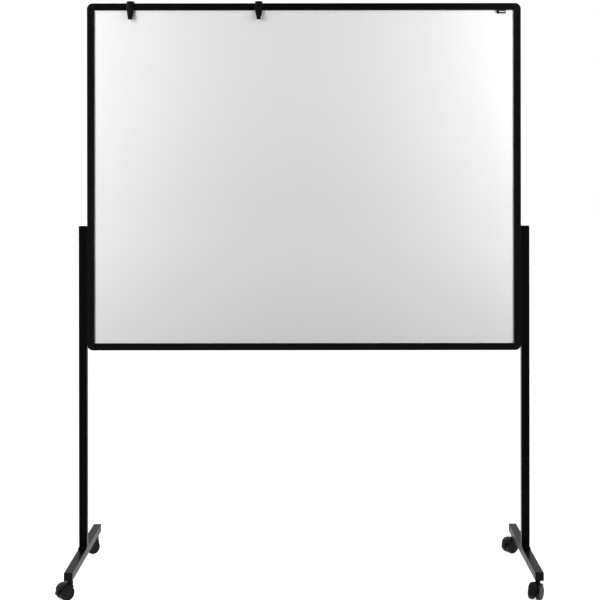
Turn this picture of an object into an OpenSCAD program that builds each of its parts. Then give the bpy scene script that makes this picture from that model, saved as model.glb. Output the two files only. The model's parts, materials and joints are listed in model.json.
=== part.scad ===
// Rolling whiteboard: a framed steel writing board bolted between two posts.
// Each post stands on a foot that rolls on two braked twin-wheel casters.
// Millimetres. The origin is on the floor under the middle of the board,
// +Z is up, the writing surface faces -Y and +X is to the right of it.

/* [Board] */
// Width over the frame
board_w = 1500; // [1200:10:1800]
// Height over the frame
board_h = 1200; // [900:10:1300]
// Height of the board's lower edge above the floor
board_z = 776; // [650:2:900]
// Face width of the frame
frame_w = 24; // [22:1:30]
// Depth of the frame from front to back
frame_d = 24; // [22:1:30]
// Radius of the board's outer corners
corner_r = 20; // [8:1:22]
// How far the frame stands proud of each writing sheet
recess = 5; // [3:0.5:6]
// Thickness of each steel sheet
sheet_t = 0.6; // [0.4:0.1:1]

/* [Hooks] */
// Distance of each hook from the middle of the board, left then right
hook_x = [-600, -156]; // [-680:4:-20]
// Width of a hook where it grips the frame
hook_w = 25; // [20:1:30]
// Width of a hook's tip
hook_tip_w = 14; // [10:1:18]
// Thickness of a hook's wall
hook_t = 3; // [2.5:0.5:3.5]
// Height of a hook's lowest point below the top of the frame
hook_drop = 57; // [52:1:70]

/* [Stand] */
// Width and depth of the posts and feet
tube = 28; // [26:1:40]
// Radius of the tubes' long edges
tube_r = 2; // [1:0.5:3]
// Wall of a tube
tube_wall = 2; // [1.5:0.5:2.5]
// Height of the posts' tops above the floor
post_top = 1206; // [1000:2:1400]
// Length of a foot from front to back
foot_l = 600; // [450:10:700]
// Height of a foot's underside above the floor
foot_z = 66; // [62:1:70]
// Length of the base plate under a post
plate_l = 70; // [60:2:90]

/* [Casters] */
// Distance between the front and rear casters' stems
stem_span = 530; // [380:10:560]
// Wheel radius
wheel_r = 25; // [24:1:26]
// Width of one wheel
wheel_w = 14; // [12:1:16]
// Distance from the stem's axis back to the axle
trail = 18; // [17:1:20]
// Turn of each caster: front left, front right, rear left, rear right
caster_turn = [40, 60, 38, 30]; // [-180:1:180]

/* [Hidden] */
RAILS = ["top", "bottom", "left", "right"];
CORNERS = ["top_left", "top_right", "bottom_left", "bottom_right"];
SIDES = ["left", "right"];
CASTERS = ["front_left", "front_right", "rear_left", "rear_right"];
$fn = 64;
over = 1;            // overrun of a cut past a face

// Board
half_w = board_w / 2;
board_top = board_z + board_h;
half_d = frame_d / 2;
rail_wall = 1.5;
pocket = 10;         // how far the core reaches into the frame
chamber_w = frame_w - pocket - 2 * rail_wall;
chamber_d = frame_d - 2 * rail_wall;
face_y = half_d - recess;
core_half = face_y - sheet_t;
sheet_gap = 0.2;     // between a sheet's edge and the frame
spigot_l = 40;
spigot_gap = 0.2;
screw_r = 1.6;
screw_head_r = 3;
screw_l = 12;
screw_in = 20;       // from a corner block to its screw
tag_size = [32, 1.5, 12];
tag_x = 682;

// Hooks
hook_gap = 0.3;
hook_top = 8;        // height of a hook above the frame
hook_back = 22;      // length of the leg behind the frame
hook_bend = 6;
j_r = 4;             // inner radius of the upturned end
j_lip = 5;           // height of the lip above the bend
hook_step = 2;       // how far each side steps in below the blade

// Stand
post_gap = 1;        // filled by the rivet nuts' flanges
post_x = half_w + post_gap + tube / 2;
cap_t = 3;
plug_l = 14;
plug_gap = 0.2;
hole_rim = 1.5;      // overlap of a hole plug's head on the post
hole_head = 0.8;
plate_t = 4;
foot_top = foot_z + tube;
post_z = foot_top + plate_t;
bolt_z = [board_z + 84, post_top - 46];
bolt_r = 3;
bolt_head_r = 5;
bolt_head_h = 5;
hex_r = 2.9;         // corner radius of a hexagon socket
hex_deep = 3;
access_r = 7;
nut_r = 4.5;
nut_flange_r = 6.5;
nut_l = 9;
plate_screw_y = 26;
plate_head_h = 3;
plate_hex_r = 2.3;
plate_hex_deep = 2;
insert_r = 5.5;
insert_flange_r = 8;
insert_flange_t = 1;
insert_l = 16;
thread_r = 4;

// Casters
wheel_gap = 12;      // between the two wheels of a caster
axle_r = 3;
axle_l = 34;
run = 0.05;          // radial clearance of a turning fit
web_t = 11.2;
hood_r = 31;
hood_in_r = 26.2;
hood_w = 37;
socket_r = 8.5;
socket_low = 49;
socket_top = 58;
pin_r = 3.5;
pin_low = 40;
collar_z = socket_top + 0.4;
collar_af = 13;
pedal_w = 18;
pivot_r = 29.3;      // distance of the pedal's pivot from the axle
pivot_a = 150;
pivot = pivot_r * [cos(pivot_a), sin(pivot_a)];
pedal_tip = [-30.7, -3];
pedal_root_r = 3;
pedal_tip_r = 1.8;
trunnion_r = 1.6;
trunnion_l = 28.4;
ear_w = 5;
ear_y = pedal_w / 2 + ear_w / 2 + 0.4;
hood_front_a = 38;
web_front_a = 22;
hood_rear_a = 141;
ear_rear_a = 152;

// ---- shared shapes ----

// A square with round corners, from exact circles and squares.
module round_square(w, r) {
  square([w - 2 * r, w], center = true);
  square([w, w - 2 * r], center = true);
  for (x = [-1, 1], y = [-1, 1])
    translate([x * (w / 2 - r), y * (w / 2 - r)]) circle(r, $fn = 32);
}

module tube_section() {
  difference() {
    round_square(tube, tube_r);
    square(tube - 2 * tube_wall, center = true);
  }
}

// A cylinder along X from x0 to x1.
module x_rod(r, x0, x1) {
  translate([x0, 0, 0]) rotate([0, 90, 0]) cylinder(r = r, h = x1 - x0);
}

// ---- board ----

// The extrusion's section: x is its depth, y runs from the outer face inwards.
module rail_section() {
  difference() {
    translate([-half_d, 0]) square([frame_d, frame_w]);
    translate([-chamber_d / 2, rail_wall]) square([chamber_d, chamber_w]);
    translate([-core_half, frame_w - pocket]) square([2 * core_half, pocket + over]);
  }
}

module rail_bar(length) {
  linear_extrude(length, center = true) rail_section();
}

module place_rail(which) {
  mid_z = board_z + board_h / 2;
  if (which == "top") translate([0, 0, board_top]) rotate([-90, 0, 90]) children();
  if (which == "bottom") translate([0, 0, board_z]) rotate([90, 0, 90]) children();
  if (which == "left") translate([-half_w, 0, mid_z]) rotate([180, 0, 90]) children();
  if (which == "right") translate([half_w, 0, mid_z]) rotate([0, 0, 90]) children();
}

module frame_rail(which) {
  upright = which == "left" || which == "right";
  length = (upright ? board_h : board_w) - 2 * frame_w;
  color([0.05, 0.05, 0.05]) difference() {
    place_rail(which) rail_bar(length);
    screw_holes();
    if (upright) nut_holes();
  }
}

// Places a child at one corner; the child is drawn for the top right one.
module place_corner(which) {
  right = which == "top_right" || which == "bottom_right";
  top = which == "top_left" || which == "top_right";
  translate([0, 0, board_z + board_h / 2])
    mirror([right ? 0 : 1, 0, 0])
      mirror([0, 0, top ? 0 : 1])
        translate([half_w, 0, board_h / 2]) children();
}

// A block with one round outer corner and a spigot into each rail.
module corner_cap(which) {
  color([0.06, 0.06, 0.06]) difference() {
    place_corner(which) difference() {
      union() {
        rotate([90, 0, 0]) linear_extrude(frame_d, center = true) corner_outline();
        corner_spigots();
      }
      translate([-frame_w - over, -core_half, -frame_w - over])
        cube([pocket + over, 2 * core_half, pocket + over]);
    }
    screw_holes();
  }
}

module corner_outline() {
  translate([-frame_w, -frame_w]) square([frame_w - corner_r, frame_w]);
  translate([-frame_w, -frame_w]) square([frame_w, frame_w - corner_r]);
  translate([-corner_r, -corner_r]) intersection() {
    circle(corner_r);
    square(corner_r);
  }
}

module corner_spigots() {
  w = chamber_w - 2 * spigot_gap;
  d = chamber_d - 2 * spigot_gap;
  off = rail_wall + spigot_gap + w;
  translate([-frame_w - spigot_l, -d / 2, -off]) cube([spigot_l + over, d, w]);
  translate([-off, -d / 2, -frame_w - spigot_l]) cube([w, d, spigot_l + over]);
}

// A countersunk screw through the rail's back wall into each spigot.
module place_screws() {
  mid = rail_wall + chamber_w / 2;
  for (c = CORNERS) place_corner(c) {
    translate([-frame_w - screw_in, half_d, -mid]) rotate([90, 0, 0]) children();
    translate([-mid, half_d, -frame_w - screw_in]) rotate([90, 0, 0]) children();
  }
}

module screw_shape(grow) {
  cylinder(r1 = screw_head_r + grow, r2 = screw_r + grow, h = screw_head_r - screw_r);
  cylinder(r = screw_r + grow, h = screw_l);
}

module screw_holes() {
  place_screws() screw_shape(0);
}

module corner_screws() {
  color([0.15, 0.15, 0.15]) place_screws() difference() {
    screw_shape(0);
    // cross recess
    for (a = [0, 90]) rotate([0, 0, a]) cube([3.2, 0.7, 2], center = true);
  }
}

// One steel sheet, cut to the frame's opening.
module sheet_panel() {
  w = board_w - 2 * frame_w - 2 * sheet_gap;
  h = board_h - 2 * frame_w - 2 * sheet_gap;
  translate([-w / 2, 0, board_z + frame_w + sheet_gap]) cube([w, sheet_t, h]);
}

module front_sheet() {
  color([0.95, 0.95, 0.95]) translate([0, -face_y, 0]) sheet_panel();
}

module back_sheet() {
  color([0.9, 0.9, 0.9]) translate([0, core_half, 0]) sheet_panel();
}

module board_core() {
  w = board_w - 2 * (frame_w - pocket);
  h = board_h - 2 * (frame_w - pocket);
  color([0.72, 0.6, 0.42])
    translate([-w / 2, -core_half, board_z + frame_w - pocket])
      cube([w, 2 * core_half, h]);
}

// A blank tag that clips over the inner edge of the top rail's lip.
module label_tag() {
  clip = 3;
  lip_z = board_top - frame_w;
  color([0.04, 0.04, 0.04]) translate([tag_x - tag_size.x / 2, 0, 0]) {
    translate([0, -half_d, lip_z - tag_size.z]) cube(tag_size);
    translate([0, -half_d - tag_size.y / 2, lip_z - clip])
      cube([tag_size.x, tag_size.y / 2, 2 * clip]);
  }
}

// ---- hooks ----

// Side outline of a hook: x is depth from the middle of the frame, y is height
// from the top of the frame. The upturned end is at the front.
module hook_outline() {
  inner = half_d + hook_gap;
  outer = inner + hook_t;
  low = -hook_drop;
  j_out = j_r + hook_t;
  j_x = -inner - hook_t - j_r;
  // bridge over the frame with bent shoulders
  difference() {
    union() {
      translate([-outer, hook_gap]) square([2 * outer, hook_top - hook_bend - hook_gap]);
      translate([-outer + hook_bend, hook_gap])
        square([2 * (outer - hook_bend), hook_top - hook_gap]);
      for (s = [-1, 1]) translate([s * (outer - hook_bend), hook_top - hook_bend])
        circle(hook_bend);
    }
    translate([-inner, -hook_bend * 2]) square([2 * inner, hook_bend * 2 + hook_gap]);
  }
  // leg behind, front blade and the upturned lip
  translate([inner, -hook_back]) square([hook_t, hook_back + hook_gap + over]);
  translate([-outer, low + j_out]) square([hook_t, hook_drop - j_out + hook_gap + over]);
  translate([j_x, low + j_out]) difference() {
    circle(j_out);
    circle(j_r);
    translate([-j_out - over, 0]) square([2 * (j_out + over), j_out + over]);
  }
  translate([j_x - j_out, low + j_out]) square([hook_t, j_lip]);
}

// Front outline of a hook: full width over the frame, then a taper to the tip.
module hook_front() {
  w = hook_w / 2;
  t = hook_tip_w / 2;
  tip_top = -hook_drop + j_r + hook_t + j_lip;
  polygon([
    [-w, hook_top + over], [w, hook_top + over], [w, -frame_w],
    [t + hook_step, tip_top], [t, tip_top], [t, -hook_drop - over],
    [-t, -hook_drop - over], [-t, tip_top], [-t - hook_step, tip_top], [-w, -frame_w]
  ]);
}

module hook(x) {
  reach = 2 * frame_d;
  color([0.05, 0.05, 0.05]) translate([x, 0, board_top]) intersection() {
    rotate([90, 0, 90]) linear_extrude(hook_w, center = true) hook_outline();
    rotate([90, 0, 0]) linear_extrude(2 * reach, center = true) hook_front();
  }
}

// ---- posts and board fixings ----

module mirrored_bolts() {
  for (side = [0, 1], z = bolt_z) mirror([side, 0, 0]) translate([0, 0, z]) children();
}

module nut_holes() {
  mirrored_bolts() x_rod(nut_r, half_w - nut_l, half_w + over);
}

// The head bears on the post's inner wall, inside the tube.
module board_bolts() {
  seat = half_w + post_gap + tube_wall;
  color([0.6, 0.6, 0.6]) mirrored_bolts() difference() {
    union() {
      x_rod(bolt_r, half_w - nut_l + over, seat + over);
      x_rod(bolt_head_r, seat, seat + bolt_head_h);
    }
    translate([seat + bolt_head_h - hex_deep, 0, 0]) rotate([0, 90, 0])
      cylinder(r = hex_r, h = hex_deep + over, $fn = 6);
  }
}

module board_rivet_nuts() {
  color([0.75, 0.7, 0.5]) mirrored_bolts() difference() {
    union() {
      x_rod(nut_r, half_w - nut_l, half_w + post_gap);
      x_rod(nut_flange_r, half_w, half_w + post_gap);
    }
    x_rod(bolt_r, half_w - nut_l - over, half_w + post_gap + over);
  }
}

module post_hole_plugs() {
  outer = half_w + post_gap + tube;
  color([0.06, 0.06, 0.06]) mirrored_bolts() {
    x_rod(access_r, outer - tube_wall - 1, outer);
    x_rod(access_r + hole_rim, outer, outer + hole_head);
  }
}

module post(side) {
  height = post_top - cap_t - post_z;
  color([0.06, 0.06, 0.06]) difference() {
    translate([side * post_x, 0, post_z]) linear_extrude(height) tube_section();
    mirrored_bolts() {
      x_rod(bolt_r + 0.3, half_w, post_x);
      x_rod(access_r, post_x, post_x + tube);
    }
  }
}

module tube_plug() {
  w = tube - 2 * tube_wall - 2 * plug_gap;
  linear_extrude(cap_t) round_square(tube, tube_r);
  translate([-w / 2, -w / 2, -plug_l]) cube([w, w, plug_l + over]);
}

module post_cap(side) {
  color([0.07, 0.07, 0.07]) translate([side * post_x, 0, post_top - cap_t]) tube_plug();
}

module place_plate_screws(side) {
  for (y = [-1, 1]) translate([side * post_x, y * plate_screw_y, 0]) children();
}

module base_plate(side) {
  color([0.07, 0.07, 0.07]) difference() {
    translate([side * post_x - tube / 2, -plate_l / 2, foot_top]) cube([tube, plate_l, plate_t]);
    place_plate_screws(side) {
      translate([0, 0, foot_top - over]) cylinder(r = bolt_r, h = plate_t);
      plate_screw_head();
      translate([0, 0, post_z]) cylinder(r = bolt_r + plate_head_h, h = over);
    }
  }
}

module plate_screw_head() {
  translate([0, 0, post_z - plate_head_h])
    cylinder(r1 = bolt_r, r2 = bolt_r + plate_head_h, h = plate_head_h);
}

module plate_screws() {
  color([0.2, 0.2, 0.2]) for (side = [-1, 1]) place_plate_screws(side) difference() {
    union() {
      plate_screw_head();
      translate([0, 0, foot_top - nut_l])
        cylinder(r = bolt_r, h = nut_l + plate_t - plate_head_h);
    }
    translate([0, 0, post_z - plate_hex_deep])
      cylinder(r = plate_hex_r, h = plate_hex_deep + over, $fn = 6);
  }
}

module plate_rivet_nuts() {
  color([0.75, 0.7, 0.5]) for (side = [-1, 1]) place_plate_screws(side)
    translate([0, 0, foot_top - nut_l - 3]) difference() {
      cylinder(r = nut_r, h = nut_l + 3);
      translate([0, 0, -over]) cylinder(r = bolt_r, h = nut_l + 3 + 2 * over);
    }
}

// ---- feet ----

module foot(side) {
  length = foot_l - 2 * cap_t;
  color([0.08, 0.08, 0.08]) difference() {
    translate([side * post_x, 0, foot_z + tube / 2]) rotate([90, 0, 0])
      linear_extrude(length, center = true) tube_section();
    place_plate_screws(side) translate([0, 0, foot_top - 2 * tube_wall])
      cylinder(r = nut_r, h = 3 * tube_wall);
    for (y = [-1, 1]) translate([side * post_x, y * stem_span / 2, foot_z - over])
      cylinder(r = insert_r, h = 3 * tube_wall);
  }
}

module foot_cap(side, fore) {
  color([0.07, 0.07, 0.07])
    translate([side * post_x, fore * (foot_l / 2 - cap_t), foot_z + tube / 2])
      rotate([-fore * 90, 0, 0]) tube_plug();
}

// ---- casters ----

function caster_side(i) = i % 2 == 0 ? -1 : 1;
function caster_fore(i) = i < 2 ? -1 : 1;

// Puts a child on the stem's axis, still facing along the row's axes.
module place_stem(i) {
  translate([caster_side(i) * post_x, caster_fore(i) * stem_span / 2, 0]) children();
}

// Turns a child with the caster; the wheels trail along its -X.
module place_caster(i) {
  place_stem(i) rotate([0, 0, caster_turn[i]]) children();
}

// Puts a side outline on the axle: x forward and y up from the axle's centre.
module from_axle(width) {
  translate([-trail, 0, wheel_r]) rotate([90, 0, 0])
    linear_extrude(width, center = true) children();
}

// A rod across the caster at a point given from the axle's centre.
module cross_rod(at, r, length) {
  translate([at.x - trail, 0, at.y + wheel_r]) rotate([90, 0, 0])
    cylinder(r = r, h = length, center = true);
}

module sector(r, a0, a1) {
  far = 2 * r;
  intersection() {
    circle(r);
    polygon([[0, 0], for (k = [0:4]) far * [cos(a0 + k * (a1 - a0) / 4), sin(a0 + k * (a1 - a0) / 4)]]);
  }
}

module caster_inserts() {
  color([0.7, 0.7, 0.7]) for (i = [0:3]) place_stem(i) difference() {
    union() {
      translate([0, 0, foot_z]) cylinder(r = insert_r, h = insert_l);
      translate([0, 0, foot_z - insert_flange_t])
        cylinder(r = insert_flange_r, h = insert_flange_t);
    }
    translate([0, 0, foot_z - insert_flange_t - over])
      cylinder(r = thread_r, h = insert_l + insert_flange_t + 2 * over);
  }
}

module caster_stem(i) {
  collar_top = foot_z - insert_flange_t;
  color([0.7, 0.7, 0.7]) place_stem(i) {
    translate([0, 0, pin_low]) cylinder(r = pin_r, h = collar_z - pin_low + over);
    translate([0, 0, collar_z])
      cylinder(r = collar_af / 2 / cos(30), h = collar_top - collar_z, $fn = 6);
    translate([0, 0, collar_top - over]) cylinder(r = thread_r, h = insert_l);
  }
}

module caster_hood(i) {
  color([0.05, 0.05, 0.05]) place_caster(i) difference() {
    union() {
      // web between the wheels, with the axle's boss and the stem's column
      from_axle(web_t) {
        sector(hood_r, web_front_a, hood_rear_a);
        circle(socket_r);
        translate([trail - socket_r, pin_low - wheel_r - 3])
          square([2 * socket_r, socket_top - pin_low + 3]);
      }
      // cover over both wheels
      from_axle(hood_w) difference() {
        sector(hood_r, hood_front_a, hood_rear_a);
        circle(hood_in_r);
      }
      // ears that carry the pedal
      for (s = [-1, 1]) translate([0, s * ear_y, 0]) from_axle(ear_w) {
        difference() {
          sector(hood_r, hood_rear_a - 10, ear_rear_a);
          circle(hood_in_r);
        }
        translate(pivot) circle(pedal_root_r);
      }
      translate([0, 0, socket_low]) cylinder(r = socket_r, h = socket_top - socket_low);
    }
    translate([0, 0, pin_low - 0.5]) cylinder(r = pin_r + run, h = socket_top);
    cross_rod([0, 0], axle_r, hood_w);
    cross_rod(pivot, trunnion_r + run, 2 * hood_w);
  }
}

module caster_axle(i) {
  color([0.75, 0.75, 0.75]) place_caster(i) cross_rod([0, 0], axle_r, axle_l);
}

// Half section of a wheel: x is the radius, y the distance from the caster's middle.
module wheel_section() {
  y0 = wheel_gap / 2;
  y1 = y0 + wheel_w;
  edge = 2.5;
  lip = 1;
  difference() {
    union() {
      translate([0, y0]) square([wheel_r - lip, wheel_w - edge]);
      translate([0, y0 + lip]) square([wheel_r, wheel_w - edge - lip]);
      translate([0, y0 + lip]) square([wheel_r - edge, wheel_w - lip]);
      translate([wheel_r - edge, y1 - edge]) circle(edge);
      translate([wheel_r - lip, y0 + lip]) circle(lip);
    }
    // hollow behind the disc, hub bore and a ring groove in the disc
    translate([9, y0 - over]) square([11, 9 + over]);
    translate([-over, y0 - over]) square([axle_r + run + over, axle_l / 2 + 0.5 - y0 + over]);
    translate([17.5, y1 - 0.7]) square([1.5, 2]);
  }
}

module caster_wheel(i, side) {
  color([0.06, 0.06, 0.06]) place_caster(i) translate([-trail, 0, wheel_r])
    mirror([0, side < 0 ? 1 : 0, 0]) rotate([-90, 0, 0]) rotate_extrude($fn = 96)
      intersection() {
        wheel_section();
        square([2 * wheel_r, 2 * wheel_r]);
      }
}

module caster_pedal(i) {
  run_dir = (pedal_tip - pivot) / norm(pedal_tip - pivot);
  side_dir = [-run_dir.y, run_dir.x];
  color([0.07, 0.07, 0.07]) place_caster(i) {
    from_axle(pedal_w) {
      translate(pivot) circle(pedal_root_r);
      translate(pedal_tip) circle(pedal_tip_r);
      polygon([
        pivot + pedal_root_r * side_dir, pedal_tip + pedal_tip_r * side_dir,
        pedal_tip - pedal_tip_r * side_dir, pivot - pedal_root_r * side_dir
      ]);
    }
    cross_rod(pivot, trunnion_r, trunnion_l);
  }
}

// ---- drawing ----

for (r = RAILS)
  frame_rail(r);
for (c = CORNERS)
  corner_cap(c);
front_sheet();
board_core();
back_sheet();
corner_screws();
label_tag();
board_bolts();
board_rivet_nuts();
post_hole_plugs();
plate_screws();
plate_rivet_nuts();
caster_inserts();
for (k = [0, 1]) {
  side = 2 * k - 1;
  hook(hook_x[k]);
  post(side);
  post_cap(side);
  base_plate(side);
  foot(side);
}
for (i = [0:3]) {
  name = str(CASTERS[i], "_caster_");
  foot_cap(caster_side(i), caster_fore(i));
  caster_stem(i);
  caster_hood(i);
  caster_axle(i);
  caster_wheel(i, 1);
  caster_wheel(i, -1);
  caster_pedal(i);
}
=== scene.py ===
"""Looks of the rolling whiteboard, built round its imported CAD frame.

Metres, +Z up, the writing surface faces -Y. Every visible piece is made here from the CAD
node that it stands for, with rounded edges and its own procedural finish.
"""

import json
import math

import bmesh
import bpy
from mathutils import Matrix, Vector


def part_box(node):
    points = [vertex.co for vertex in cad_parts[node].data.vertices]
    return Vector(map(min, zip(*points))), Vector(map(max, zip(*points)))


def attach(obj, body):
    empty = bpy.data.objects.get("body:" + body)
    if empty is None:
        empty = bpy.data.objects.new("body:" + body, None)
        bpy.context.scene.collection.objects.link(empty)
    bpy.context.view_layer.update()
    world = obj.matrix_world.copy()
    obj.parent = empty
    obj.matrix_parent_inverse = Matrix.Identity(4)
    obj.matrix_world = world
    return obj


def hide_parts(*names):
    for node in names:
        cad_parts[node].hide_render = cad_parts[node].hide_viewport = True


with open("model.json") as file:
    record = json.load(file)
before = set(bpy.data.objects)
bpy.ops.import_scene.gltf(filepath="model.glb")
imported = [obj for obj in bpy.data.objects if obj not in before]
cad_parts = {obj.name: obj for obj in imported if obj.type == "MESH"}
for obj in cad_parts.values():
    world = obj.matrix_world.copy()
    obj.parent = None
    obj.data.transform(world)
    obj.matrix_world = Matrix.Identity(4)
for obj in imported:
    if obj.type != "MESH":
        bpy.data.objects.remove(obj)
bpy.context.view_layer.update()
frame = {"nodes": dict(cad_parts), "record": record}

MM = 0.001
RECORD = frame["record"]
SLOT_OF = {row["node"]: row["material_slot"] for row in RECORD["subparts"]}
BODY_OF = {}
for body_name, members in RECORD["behaviour"]["bodies"].items():
    for member in members:
        BODY_OF[member] = body_name
CASTERS = ("front_left", "front_right", "rear_left", "rear_right")


# ---------------------------------------------------------------- materials


class Surface:
    """One Principled material and short calls for the nodes that feed it."""

    def __init__(self, name, **sockets):
        self.material = bpy.data.materials.new(name)
        self.material.use_nodes = True
        self.tree = self.material.node_tree
        self.shader = self.tree.nodes["Principled BSDF"]
        for socket, value in sockets.items():
            self.shader.inputs[socket.replace("_", " ")].default_value = value
        self.place = self.tree.nodes.new("ShaderNodeTexCoord").outputs["Object"]

    def node(self, kind, **settings):
        made = self.tree.nodes.new(kind)
        for key, value in settings.items():
            setattr(made, key, value)
        return made

    def link(self, source, target):
        self.tree.links.new(source, target)

    def noise(self, size, detail=3.0, rough=0.5, stretch=(1, 1, 1)):
        """Noise whose blobs are about size metres across, stretched along some axes."""
        mapping = self.node("ShaderNodeMapping")
        mapping.inputs["Scale"].default_value = [1 / s for s in stretch]
        self.link(self.place, mapping.inputs["Vector"])
        noise = self.node("ShaderNodeTexNoise")
        noise.inputs["Scale"].default_value = 1 / size
        noise.inputs["Detail"].default_value = detail
        noise.inputs["Roughness"].default_value = rough
        self.link(mapping.outputs["Vector"], noise.inputs["Vector"])
        return noise.outputs["Fac"]

    def spread(self, source, low, high, start=0.3, end=0.7):
        """Maps a 0 to 1 value between start and end on to low and high."""
        ranged = self.node("ShaderNodeMapRange")
        for socket, value in (
            ("From Min", start),
            ("From Max", end),
            ("To Min", low),
            ("To Max", high),
        ):
            ranged.inputs[socket].default_value = value
        self.link(source, ranged.inputs["Value"])
        return ranged.outputs["Result"]

    def colours(self, source, dark, light, start=0.3, end=0.7):
        ramp = self.node("ShaderNodeValToRGB")
        ramp.color_ramp.elements[0].position = start
        ramp.color_ramp.elements[0].color = (*dark, 1)
        ramp.color_ramp.elements[1].position = end
        ramp.color_ramp.elements[1].color = (*light, 1)
        self.link(source, ramp.inputs["Fac"])
        return ramp.outputs["Color"]

    def base(self, colour):
        self.link(colour, self.shader.inputs["Base Color"])

    def roughness(self, value):
        self.link(value, self.shader.inputs["Roughness"])

    def bump(self, *layers):
        """Stacks (height, strength, depth in metres) layers, coarse first."""
        normal = None
        for height, strength, depth in layers:
            bump = self.node("ShaderNodeBump")
            bump.inputs["Strength"].default_value = strength
            bump.inputs["Distance"].default_value = depth
            self.link(height, bump.inputs["Height"])
            if normal:
                self.link(normal, bump.inputs["Normal"])
            normal = bump.outputs["Normal"]
        self.link(normal, self.shader.inputs["Normal"])


def grey(value, warm=0.0):
    return (value * (1 + warm), value, value * (1 - warm))


def powder_coat(name, shade, rough, gloss):
    """Baked powder paint: a fine orange-peel skin with slightly uneven gloss."""
    pebble = 0.00002
    paint = Surface(name, Metallic=0.0, Specular_IOR_Level=gloss)
    paint.base(paint.colours(paint.noise(0.06), grey(shade * 0.85), grey(shade * 1.15)))
    paint.roughness(paint.spread(paint.noise(0.02), rough - 0.04, rough + 0.05))
    paint.bump(
        (paint.noise(0.004, detail=1.0), 0.25, pebble * 2),
        (paint.noise(0.0009, detail=2.0), 0.45, pebble),
    )
    return paint.material


def moulded(name, shade, rough, gloss):
    """Black moulded plastic with a spark-eroded grain and faint flow marks."""
    plastic = Surface(name, Metallic=0.0, Specular_IOR_Level=gloss)
    flow = plastic.noise(0.018, detail=4.0, stretch=(1, 1, 3))
    plastic.base(plastic.colours(flow, grey(shade * 0.8), grey(shade * 1.25)))
    plastic.roughness(plastic.spread(plastic.noise(0.008), rough - 0.06, rough + 0.08))
    plastic.bump((plastic.noise(0.0005, detail=2.0), 0.5, 0.00004))
    return plastic.material


def enamel(name, shade, rough, wave):
    """White enamelled steel: glossy, very slightly wavy, with a faint wiped haze."""
    skin = Surface(name, Metallic=0.0, Specular_IOR_Level=0.5, Coat_Weight=0.5)
    skin.shader.inputs["Coat Roughness"].default_value = 0.06
    haze = skin.noise(0.35, detail=3.0, stretch=(2.5, 1, 1))
    skin.base(skin.colours(haze, grey(shade * 0.992, 0.002), grey(shade, -0.002), 0.2, 0.8))
    wiped = skin.noise(0.12, detail=4.0, stretch=(4, 1, 1))
    skin.roughness(skin.spread(wiped, rough - 0.01, rough + 0.02, 0.2, 0.8))
    skin.bump(
        (skin.noise(0.5, detail=1.0), 0.3, wave),
        (skin.noise(0.002, detail=1.0), 0.06, 0.00001),
    )
    return skin.material


def plated(name, shade, rough):
    """Zinc-plated steel with a mottled, slightly bluish skin."""
    metal = Surface(name, Metallic=1.0)
    mottle = metal.noise(0.004, detail=5.0)
    dark = (shade * 0.8, shade * 0.8, shade * 0.78)
    light = (shade, shade, shade * 1.03)
    metal.base(metal.colours(mottle, dark, light))
    metal.roughness(metal.spread(metal.noise(0.002), rough - 0.08, rough + 0.1))
    metal.bump((metal.noise(0.0006, detail=3.0), 0.3, 0.00003))
    return metal.material


def fibreboard(name):
    """Raw pressed fibreboard, as on the panel's hidden core."""
    board = Surface(name, Metallic=0.0, Roughness=0.85)
    fibres = board.noise(0.0015, detail=6.0, rough=0.7, stretch=(3, 1, 3))
    board.base(board.colours(fibres, (0.28, 0.19, 0.11), (0.5, 0.37, 0.23)))
    board.bump((fibres, 0.6, 0.0001))
    return board.material


FINISHES = {
    "frame_coat": powder_coat("frame_powder_coat", 0.002, 0.36, 0.06),
    "stand_coat": powder_coat("stand_powder_coat", 0.0018, 0.3, 0.03),
    "corner_plastic": moulded("corner_moulding", 0.002, 0.38, 0.08),
    "cap_plastic": moulded("cap_moulding", 0.004, 0.45, 0.11),
    "hook_plastic": moulded("hook_moulding", 0.0025, 0.38, 0.12),
    "tag_plastic": moulded("tag_moulding", 0.003, 0.3, 0.2),
    "writing_face": enamel("writing_enamel", 0.86, 0.24, 0.0006),
    "back_face": enamel("backing_enamel", 0.8, 0.36, 0.0008),
    "core_board": fibreboard("core_fibreboard"),
    "zinc_steel": plated("zinc_plating", 0.6, 0.35),
    "dark_steel": plated("blackened_steel", 0.05, 0.45),
    "caster_nylon": moulded("caster_nylon", 0.0042, 0.4, 0.12),
    "wheel_nylon": moulded("wheel_nylon", 0.0048, 0.38, 0.15),
}


# ---------------------------------------------------------------- pieces


def finish_piece(name, bm, node, slot=None, stands_for=True):
    """Makes a mesh a piece of a CAD node: same body, and its slot's finish unless given."""
    slot = slot or SLOT_OF[node]
    mesh = bpy.data.meshes.new(name)
    bm.to_mesh(mesh)
    bm.free()
    piece = bpy.data.objects.new(name, mesh)
    bpy.context.scene.collection.objects.link(piece)
    mesh.materials.append(FINISHES[slot])
    mesh.shade_smooth()
    normals = piece.modifiers.new("even_normals", "WEIGHTED_NORMAL")
    normals.keep_sharp = True
    normals.weight = 80
    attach(piece, BODY_OF[node])
    if stands_for:
        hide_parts(node)


def node_mesh(node):
    """A working copy of a CAD node's mesh, with its flat faces made whole."""
    bm = bmesh.new()
    bm.from_mesh(frame["nodes"][node].data)
    bmesh.ops.remove_doubles(bm, verts=bm.verts, dist=2e-6)
    bmesh.ops.dissolve_limit(
        bm,
        angle_limit=math.radians(0.3),
        verts=bm.verts,
        edges=bm.edges,
        use_dissolve_boundaries=False,
    )
    return bm


def soften(bm, width, segments=3, sharp=32):
    """Rounds every hard edge by width."""
    limit = math.radians(sharp)
    hard = [e for e in bm.edges if len(e.link_faces) == 2 and e.calc_face_angle(0) > limit]
    bmesh.ops.bevel(
        bm,
        geom=hard,
        offset=width,
        offset_type="OFFSET",
        segments=segments,
        profile=0.5,
        affect="EDGES",
        clamp_overlap=True,
    )
    return bm


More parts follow.
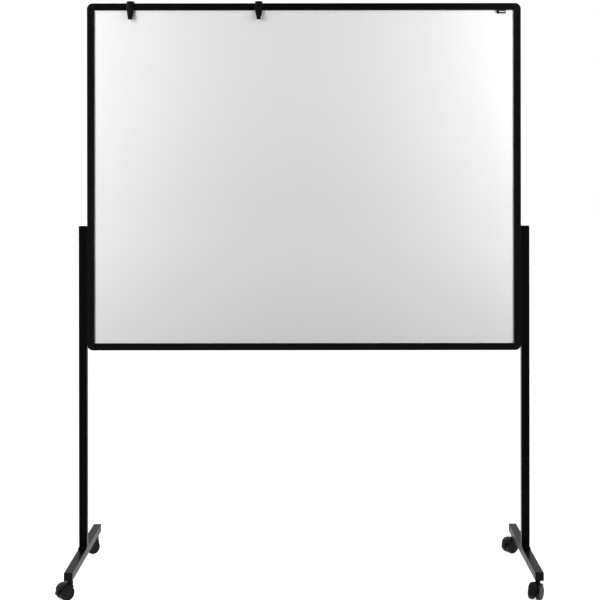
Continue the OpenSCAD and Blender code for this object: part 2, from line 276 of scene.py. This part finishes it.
def slice_along(bm, origin, direction, steps):
    """Adds cuts across direction, so that a flat face can take a curve."""
    for step in steps:
        bmesh.ops.bisect_plane(
            bm,
            geom=bm.verts[:] + bm.edges[:] + bm.faces[:],
            dist=1e-6,
            plane_co=origin + direction * step,
            plane_no=direction,
        )


def lathe(bm, centre, axis, profile, around=96):
    """Turns (radius, distance along axis) points into a closed solid of revolution.

    The first and the last point lie on the axis.
    """
    across = axis.orthogonal().normalized()
    up = axis.cross(across)
    rings = []
    for radius, along in profile[1:-1]:
        ring = []
        for k in range(around):
            angle = 2 * math.pi * k / around
            out = across * math.cos(angle) + up * math.sin(angle)
            ring.append(bm.verts.new(centre + axis * along + out * radius))
        rings.append(ring)
    for one, two in zip(rings, rings[1:]):
        for k in range(around):
            n = (k + 1) % around
            bm.faces.new((one[k], one[n], two[n], two[k]))
    for ring, along, first in ((rings[0], profile[0][1], True), (rings[-1], profile[-1][1], False)):
        pole = bm.verts.new(centre + axis * along)
        for k in range(around):
            n = (k + 1) % around
            bm.faces.new((pole, ring[n], ring[k]) if first else (pole, ring[k], ring[n]))


def block(bm, centre, sides, width=0.0):
    """A box given by its centre and three half-side vectors, with rounded edges."""
    part = bmesh.new()
    corners = {}
    for i in (-1, 1):
        for j in (-1, 1):
            for k in (-1, 1):
                at = centre + sides[0] * i + sides[1] * j + sides[2] * k
                corners[i, j, k] = part.verts.new(at)
    for axis in range(3):
        for way in (-1, 1):
            loop = []
            for one, two in ((-1, -1), (1, -1), (1, 1), (-1, 1)):
                key = [one, two]
                key.insert(axis, way)
                loop.append(corners[tuple(key)])
            part.faces.new(loop)
    bmesh.ops.recalc_face_normals(part, faces=part.faces)
    if width:
        soften(part, width, 2)
    mesh = bpy.data.meshes.new("block")
    part.to_mesh(mesh)
    part.free()
    bm.from_mesh(mesh)
    bpy.data.meshes.remove(mesh)


def bar(bm, start, end, radius, ripple=0.0, pitch=0.003, around=12):
    """A round bar with domed ends; ripple makes it swell and shrink along its length."""
    axis = (end - start).normalized()
    length = (end - start).length
    profile = [(0.0, 0.0)]
    for k in range(1, 5):
        turn = math.radians(90 * k / 4)
        profile.append((radius * math.sin(turn), radius * (1 - math.cos(turn))))
    steps = max(2, int(length / pitch * 4)) if ripple else 2
    for k in range(1, steps):
        along = radius + (length - 2 * radius) * k / steps
        swell = ripple * math.cos(2 * math.pi * along / pitch)
        profile.append((radius + swell, along))
    for k in range(4, 0, -1):
        turn = math.radians(90 * k / 4)
        profile.append((radius * math.sin(turn), length - radius * (1 - math.cos(turn))))
    profile.append((0.0, length))
    lathe(bm, start, axis, profile, around)


JOINTS = {row["name"]: row for row in RECORD["behaviour"]["joints"]}


def joint_line(name):
    return Vector(JOINTS[name]["pos_m"]), Vector(JOINTS[name]["axis"]).normalized()


# ---------------------------------------------------------------- plain pieces

EDGES_MM = {
    "rail": 0.8,
    "corner_cap": 1.0,
    "sheet": 0.15,
    "board_core": 0.3,
    "screws": 0.15,
    "label_tag": 0.35,
    "bolts": 0.3,
    "nuts": 0.15,
    "plugs": 0.35,
    "post_cap": 1.0,
    "foot_cap": 1.0,
    "base_plate": 1.0,
    "post": 0.3,
    "foot": 0.3,
    "inserts": 0.2,
    "stem": 0.5,
    "axle": 0.3,
}


def edge_of(node):
    """The rounding of a node's edges, from the longest matching word in its name."""
    words = [w for w in EDGES_MM if w in node]
    return EDGES_MM[max(words, key=len)] * MM


def plain_pieces():
    shaped = ("hook", "wheel", "hood", "pedal")
    for node in sorted(SLOT_OF):
        if not node.endswith(shaped):
            finish_piece(node + "_piece", soften(node_mesh(node), edge_of(node)), node)


# The bar's half width, depth and height, and its place from the tag's middle, front and bottom.
TAG_LINE_HALF_MM = (10, 0.25, 1.2)
TAG_LINE_AT_MM = (3, 0.1, 6.5)


def tag_line():
    """A plain pale bar across the tag."""
    low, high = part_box("label_tag")
    x, y, z = (d * MM for d in TAG_LINE_AT_MM)
    middle = Vector(((low[0] + high[0]) / 2 + x, low[1] + y, low[2] + z))
    sides = [Vector(k == axis for k in range(3)) * TAG_LINE_HALF_MM[axis] * MM for axis in range(3)]
    bm = bmesh.new()
    block(bm, middle, sides, 0.1 * MM)
    finish_piece("label_tag_line", bm, "label_tag", slot="writing_face", stands_for=False)


WELD_R = 3.0 * MM
WELD_RIPPLE = 0.3 * MM
WELD_INSET = 1.5 * MM
WELD_LIFT = 0.2 * MM


def welds():
    """A rippled bead in front of and behind each post, where it meets its base plate."""
    for side in ("left", "right"):
        low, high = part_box(side + "_post")
        bm = bmesh.new()
        for y in (low[1], high[1]):
            start = Vector((low[0] + WELD_INSET, y, low[2] + WELD_LIFT))
            end = Vector((high[0] - WELD_INSET, y, low[2] + WELD_LIFT))
            bar(bm, start, end, WELD_R, ripple=WELD_RIPPLE)
        finish_piece(side + "_post_welds", bm, side + "_post", stands_for=False)


# ---------------------------------------------------------------- hooks

HOOK_CROWN = 1.3 * MM
HOOK_INSIDE = 2.5 * MM  # skin nearer to the rail than this is on the hook's inside
HOOK_CUTS = 5  # cuts on each side of the middle


def hook_piece(node):
    """The hook with its outer skin crowned from side to side, all round the rail."""
    low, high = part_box(node)
    middle = Vector(((low[0] + high[0]) / 2, 0, 0))
    half = (high[0] - low[0]) / 2
    rail_low, rail_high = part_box("frame_top_rail")
    bm = node_mesh(node)
    cuts = [half * k / (HOOK_CUTS + 1) for k in range(-HOOK_CUTS, HOOK_CUTS + 1)]
    slice_along(bm, middle, Vector((1, 0, 0)), cuts)
    for v in bm.verts:
        nearest_y = min(max(v.co.y, rail_low[1]), rail_high[1])
        nearest_z = min(v.co.z, rail_high[2])
        away = Vector((0, v.co.y - nearest_y, v.co.z - nearest_z))
        if away.length > HOOK_INSIDE:
            off = (v.co.x - middle.x) / half
            v.co -= away.normalized() * HOOK_CROWN * off * off
    finish_piece(node + "_piece", soften(bm, 0.6 * MM), node)


# ---------------------------------------------------------------- casters

# Half section of a wheel: radius and distance outwards from the wheel's own middle.
WHEEL_MM = (
    (0, 6.9), (2.4, 6.88), (4.6, 6.75), (6.2, 6.5), (6.9, 6.1), (7.3, 5.8), (7.8, 5.8), (8.3, 6.15),
    (9.0, 6.3), (12.5, 6.25), (16.2, 6.15), (16.9, 5.95), (17.4, 5.45), (18.5, 5.4), (19.0, 5.8),
    (19.5, 6.5), (20.3, 6.9), (21.6, 7.0), (22.8, 6.75), (23.9, 6.1), (24.6, 5.2), (24.95, 4.0),
    (25.0, 2.5), (25.0, -4.5), (24.9, -5.7), (24.6, -6.5), (24.0, -6.95), (20.8, -7.0),
    (20.2, -6.7), (20.0, -6.2), (20.0, 1.2), (19.6, 1.8), (18.9, 2.0), (10.2, 2.0), (9.5, 1.8),
    (9.1, 1.2), (9.0, -6.3), (8.7, -6.8), (8.2, -7.0), (3.6, -7.0), (3.15, -6.8), (3.05, -6.4),
    (3.05, 4.5), (0, 4.5),
)
WHEEL_RIBS = 8
# A rib's middle, as radius and distance outwards, and its half sizes out, along and through.
RIB_R_MM, RIB_OUT_MM = 14.5, -1.6
RIB_HALF_MM = (5.8, 0.7, 3.9)


def wheel_piece(caster, side):
    """A wheel turned from its section, with ribs in the hollow behind its disc."""
    centre, axis = joint_line(f"{caster}_{side}_spin")
    outward = axis if side == "left" else -axis
    bm = bmesh.new()
    lathe(bm, centre, outward, [(r * MM, u * MM) for r, u in WHEEL_MM])
    across = outward.orthogonal().normalized()
    up = outward.cross(across)
    for k in range(WHEEL_RIBS):
        angle = 2 * math.pi * (k + 0.5) / WHEEL_RIBS
        out = across * math.cos(angle) + up * math.sin(angle)
        along = outward.cross(out)
        middle = centre + out * RIB_R_MM * MM + outward * RIB_OUT_MM * MM
        sides = [d * half * MM for d, half in zip((out, along, outward), RIB_HALF_MM)]
        block(bm, middle, sides, 0.2 * MM)
    bmesh.ops.recalc_face_normals(bm, faces=bm.faces)
    node = f"{caster}_caster_{side}_wheel"
    finish_piece(node + "_piece", bm, node)


HOOD_WEB = 5.7 * MM  # half width of the web between the wheels
HOOD_EDGE = 18.5 * MM  # half width of the cover over them
HOOD_INSIDE = 30.2 * MM  # radius that only the cover's outer skin lies beyond
HOOD_CROWN = 2.0 * MM
HOOD_CUTS_MM = (-16.5, -13.5, -10, -6.2, 6.2, 10, 13.5, 16.5)


def hood_piece(caster):
    """The hood with its cover crowned from side to side."""
    left, axis = joint_line(f"{caster}_left_spin")
    right, _ = joint_line(f"{caster}_right_spin")
    middle = (left + right) / 2
    node = f"{caster}_caster_hood"
    bm = node_mesh(node)
    slice_along(bm, middle, axis, [cut * MM for cut in HOOD_CUTS_MM])
    for v in bm.verts:
        off = v.co - middle
        side = off.dot(axis)
        spoke = off - axis * side
        if spoke.length > HOOD_INSIDE and abs(side) > HOOD_WEB:
            share = (abs(side) - HOOD_WEB) / (HOOD_EDGE - HOOD_WEB)
            v.co -= spoke.normalized() * HOOD_CROWN * share**2
    finish_piece(node + "_piece", soften(bm, 0.7 * MM), node)


# The pedal's blade from its pivot to its tip, in the caster's plane from the axle: back, up.
PEDAL_TIP_MM = (30.7, -3.0)
PEDAL_ROOT_R_MM, PEDAL_TIP_R_MM = 3.0, 1.8
GRIP_SHARES = (0.38, 0.5, 0.62, 0.74, 0.86)
GRIP_HALF = 7.2 * MM
GRIP_R = 0.55 * MM
GRIP_SINK = 0.15 * MM


def pedal_piece(caster):
    """The pedal with a row of grip ribs across its blade."""
    left, axis = joint_line(f"{caster}_left_spin")
    right, _ = joint_line(f"{caster}_right_spin")
    pivot, _ = joint_line(f"{caster}_brake")
    axle = (left + right) / 2
    up = Vector((0, 0, 1))
    back = (pivot - axle) - up * (pivot - axle).dot(up)
    back.normalize()
    tip = axle + back * PEDAL_TIP_MM[0] * MM + up * PEDAL_TIP_MM[1] * MM
    blade = (tip - pivot).normalized()
    outward = blade.cross(axis).normalized()
    if outward.dot(back) < 0:
        outward = -outward
    node = f"{caster}_caster_pedal"
    bm = soften(node_mesh(node), 0.7 * MM)
    for share in GRIP_SHARES:
        depth = (PEDAL_ROOT_R_MM + (PEDAL_TIP_R_MM - PEDAL_ROOT_R_MM) * share) * MM
        middle = pivot.lerp(tip, share) + outward * (depth - GRIP_SINK)
        bar(bm, middle - axis * GRIP_HALF, middle + axis * GRIP_HALF, GRIP_R)
    bmesh.ops.recalc_face_normals(bm, faces=bm.faces)
    finish_piece(node + "_piece", bm, node)


plain_pieces()
tag_line()
welds()
for hook in ("left_hook", "right_hook"):
    hook_piece(hook)
for caster in CASTERS:
    hood_piece(caster)
    pedal_piece(caster)
    for side in ("left", "right"):
        wheel_piece(caster, side)


# ---------------------------------------------------------------- stage

CAMERA_AT = (0.0316, -4.695, 1.419)
CAMERA_LENS = 81.28
CAMERA_SHIFT = (-0.0219, -0.2262)
CAMERA_ROLL = 0.06
FLOOR_HALF = 30
FLOOR_GLOW = 0.8
# The surroundings' brightness in front of the board and behind it, and where it changes along Y.
DIM, BRIGHT = 0.02, 1.0
FADE_START, FADE_END = -0.4, 0.3
# name, place, aimed at, width, height, power
SOFTBOXES = (
    ("high_left_softbox", (-1.7, -1.1, 2.3), (0, 0, 1.7), 0.6, 1.2, 24.5),
    ("low_left_softbox", (-1.7, -1.1, 1.3), (0, 0, 1.3), 0.6, 1.2, 14),
    ("high_right_softbox", (1.7, -1.1, 2.3), (0, 0, 1.7), 0.6, 1.2, 5.4),
    ("low_right_softbox", (1.7, -1.1, 1.3), (0, 0, 1.3), 0.6, 1.2, 6.5),
    ("near_right_softbox", (1.35, -0.8, 1.9), (0, 0, 1.5), 0.5, 1.6, 15.2),
)


def camera():
    """Level camera in front of the board, just right of its middle, at eye height."""
    data = bpy.data.cameras.new("camera")
    data.sensor_width = 36.0
    data.lens = CAMERA_LENS
    data.shift_x, data.shift_y = CAMERA_SHIFT
    data.clip_end = 60.0
    made = bpy.data.objects.new("camera", data)
    bpy.context.scene.collection.objects.link(made)
    roll = Matrix.Rotation(math.radians(CAMERA_ROLL), 4, "Y")
    level = Matrix.Rotation(math.radians(90), 4, "X")
    made.matrix_world = Matrix.Translation(CAMERA_AT) @ roll @ level
    bpy.context.scene.camera = made


def softbox(name, at, towards, width, height, power):
    data = bpy.data.lights.new(name, "AREA")
    data.shape = "RECTANGLE"
    data.size = width
    data.size_y = height
    data.energy = power
    made = bpy.data.objects.new(name, data)
    bpy.context.scene.collection.objects.link(made)
    aim = (Vector(towards) - Vector(at)).to_track_quat("-Z", "Y").to_matrix().to_4x4()
    made.matrix_world = Matrix.Translation(at) @ aim
    made.visible_camera = False


def floor():
    """A plain white floor that glows a little, as one lit from all round does."""
    bm = bmesh.new()
    bmesh.ops.create_grid(bm, x_segments=1, y_segments=1, size=FLOOR_HALF)
    mesh = bpy.data.meshes.new("floor")
    bm.to_mesh(mesh)
    bm.free()
    made = bpy.data.objects.new("floor", mesh)
    bpy.context.scene.collection.objects.link(made)
    paint = Surface("floor_paint", Roughness=0.6, Specular_IOR_Level=0.2)
    paint.base(paint.colours(paint.noise(1.5), grey(0.47), grey(0.5)))
    paint.shader.inputs["Emission Color"].default_value = (1, 1, 1, 1)
    paint.shader.inputs["Emission Strength"].default_value = FLOOR_GLOW
    mesh.materials.append(paint.material)
    made.visible_diffuse = False


def surroundings():
    """A white studio that is bright behind the board and dim in front of it."""
    world = bpy.data.worlds.new("studio")
    bpy.context.scene.world = world
    world.use_nodes = True
    tree = world.node_tree
    tree.nodes.clear()
    link = tree.links.new
    place = tree.nodes.new("ShaderNodeTexCoord")
    split = tree.nodes.new("ShaderNodeSeparateXYZ")
    link(place.outputs["Generated"], split.inputs["Vector"])
    fade = tree.nodes.new("ShaderNodeMapRange")
    fade.interpolation_type = "SMOOTHSTEP"
    for socket, value in (
        ("From Min", FADE_START),
        ("From Max", FADE_END),
        ("To Min", DIM),
        ("To Max", BRIGHT),
    ):
        fade.inputs[socket].default_value = value
    link(split.outputs["Y"], fade.inputs["Value"])
    lights = tree.nodes.new("ShaderNodeBackground")
    link(fade.outputs["Result"], lights.inputs["Strength"])
    backdrop = tree.nodes.new("ShaderNodeBackground")
    for background in (lights, backdrop):
        background.inputs["Color"].default_value = (1, 1, 1, 1)
    path = tree.nodes.new("ShaderNodeLightPath")
    mix = tree.nodes.new("ShaderNodeMixShader")
    link(path.outputs["Is Camera Ray"], mix.inputs["Fac"])
    link(lights.outputs["Background"], mix.inputs[1])
    link(backdrop.outputs["Background"], mix.inputs[2])
    out = tree.nodes.new("ShaderNodeOutputWorld")
    link(mix.outputs["Shader"], out.inputs["Surface"])


def stage():
    bpy.context.scene.view_settings.view_transform = "Standard"
    camera()
    floor()
    surroundings()
    for box in SOFTBOXES:
        softbox(*box)


stage()
